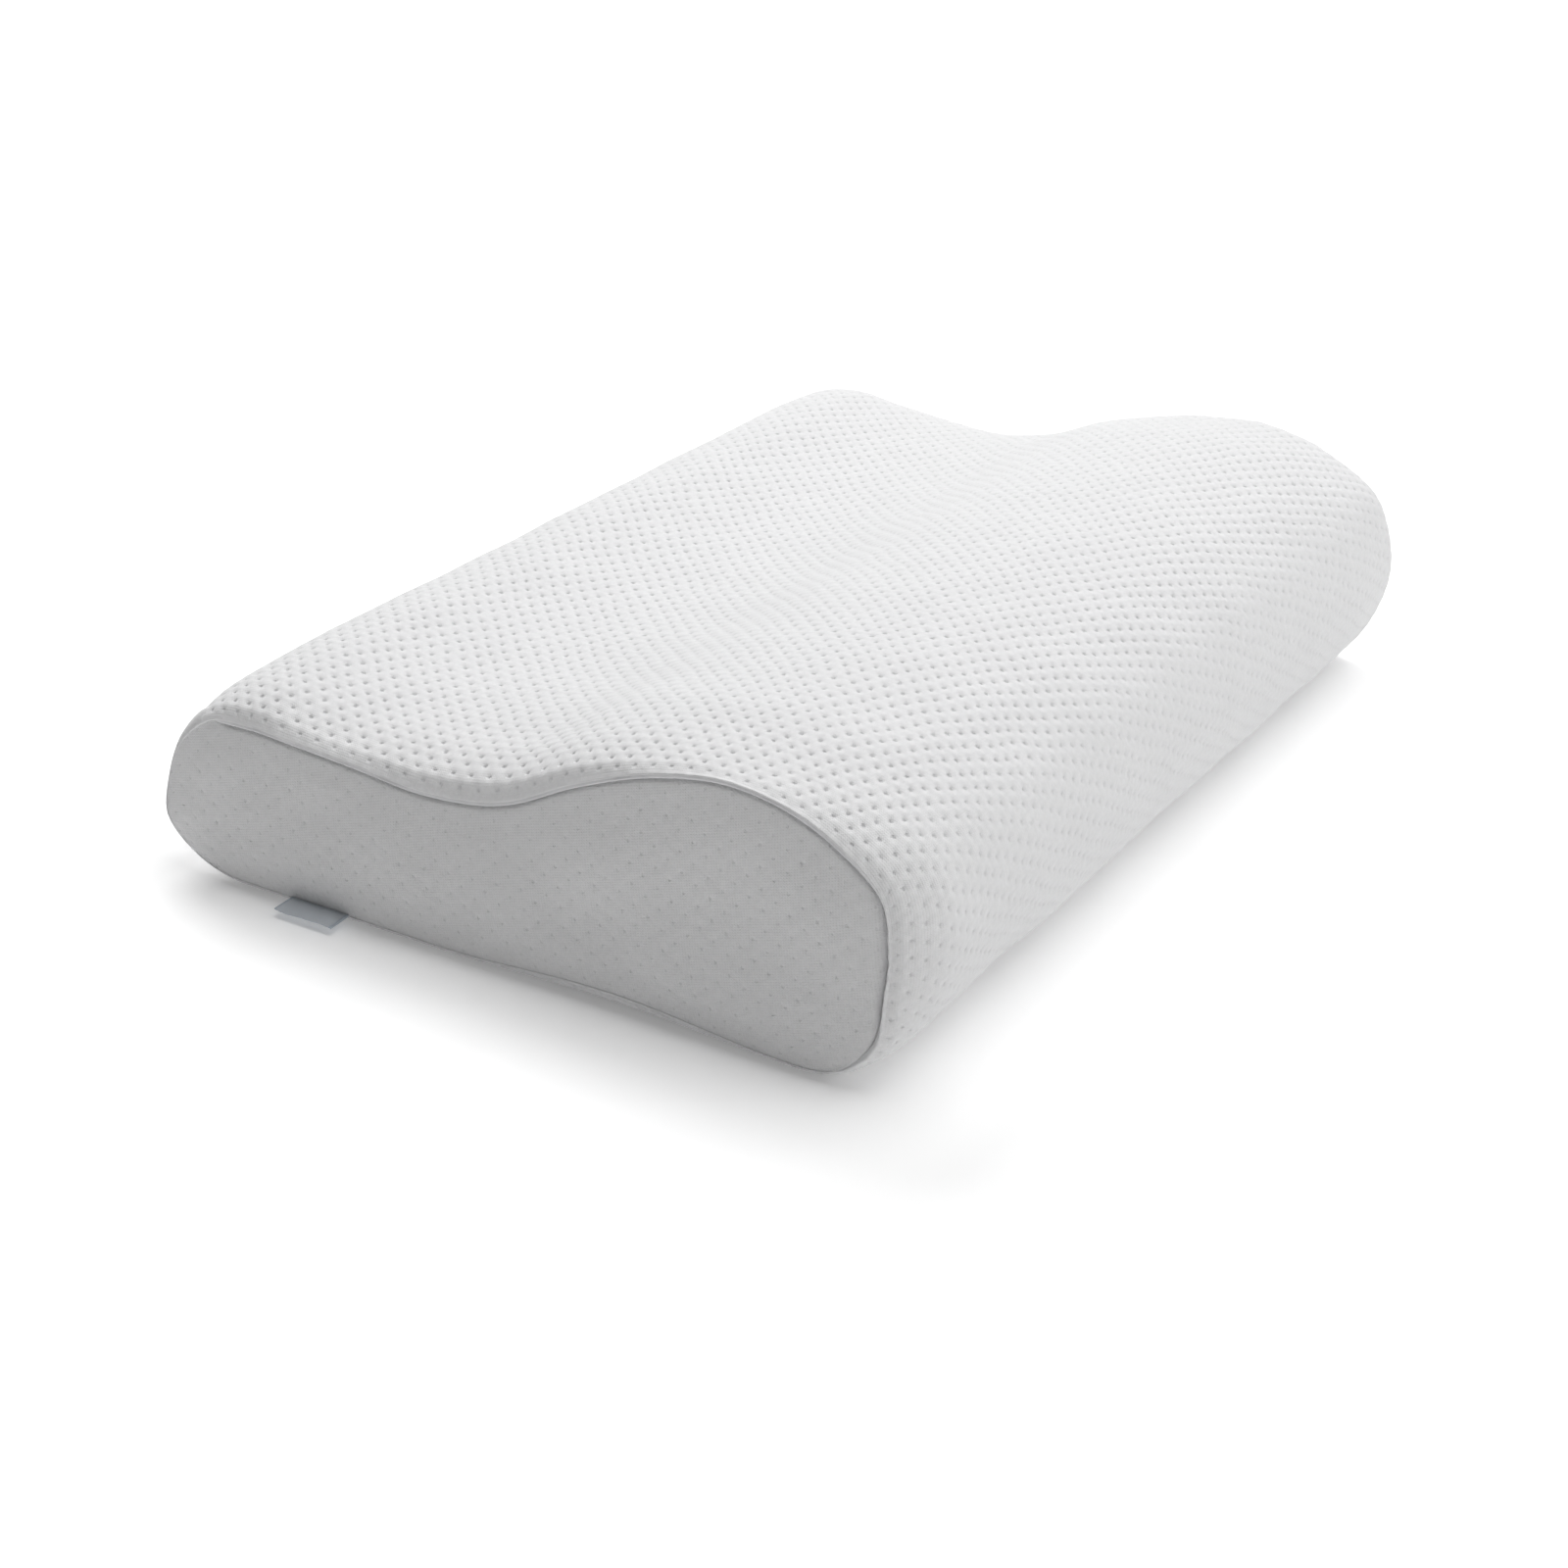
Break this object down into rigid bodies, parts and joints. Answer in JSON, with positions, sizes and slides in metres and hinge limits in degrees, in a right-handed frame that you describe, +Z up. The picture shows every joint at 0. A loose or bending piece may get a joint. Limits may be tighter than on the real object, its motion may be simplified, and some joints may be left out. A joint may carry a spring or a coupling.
{
  "type": "contour pillow",
  "caption": "Wave-shaped contour pillow with a high lobe, a neck dip and a low lobe, in a knitted cover with sewn end panels.",
  "frame": {"origin": "on the flat underside, below the middle of the pillow", "axes": "+X along the pillow from the near end, which holds the tab, to the far end; +Y across it from the high lobe to the low lobe; +Z up"},
  "size_m": [0.5154, 0.3146, 0.1056],
  "materials": {
    "knitted_wrap": "matte white double-knit with small pits",
    "knitted_end": "matte white knit with sparse small dots",
    "woven_tab": "smooth pale grey-blue woven tape, blank"
  },
  "bodies": {
    "root": {"pillow_body": "knitted_wrap", "end_panel_near": "knitted_end", "end_panel_far": "knitted_end", "label_tab": "woven_tab"}
  },
  "joints": []
}
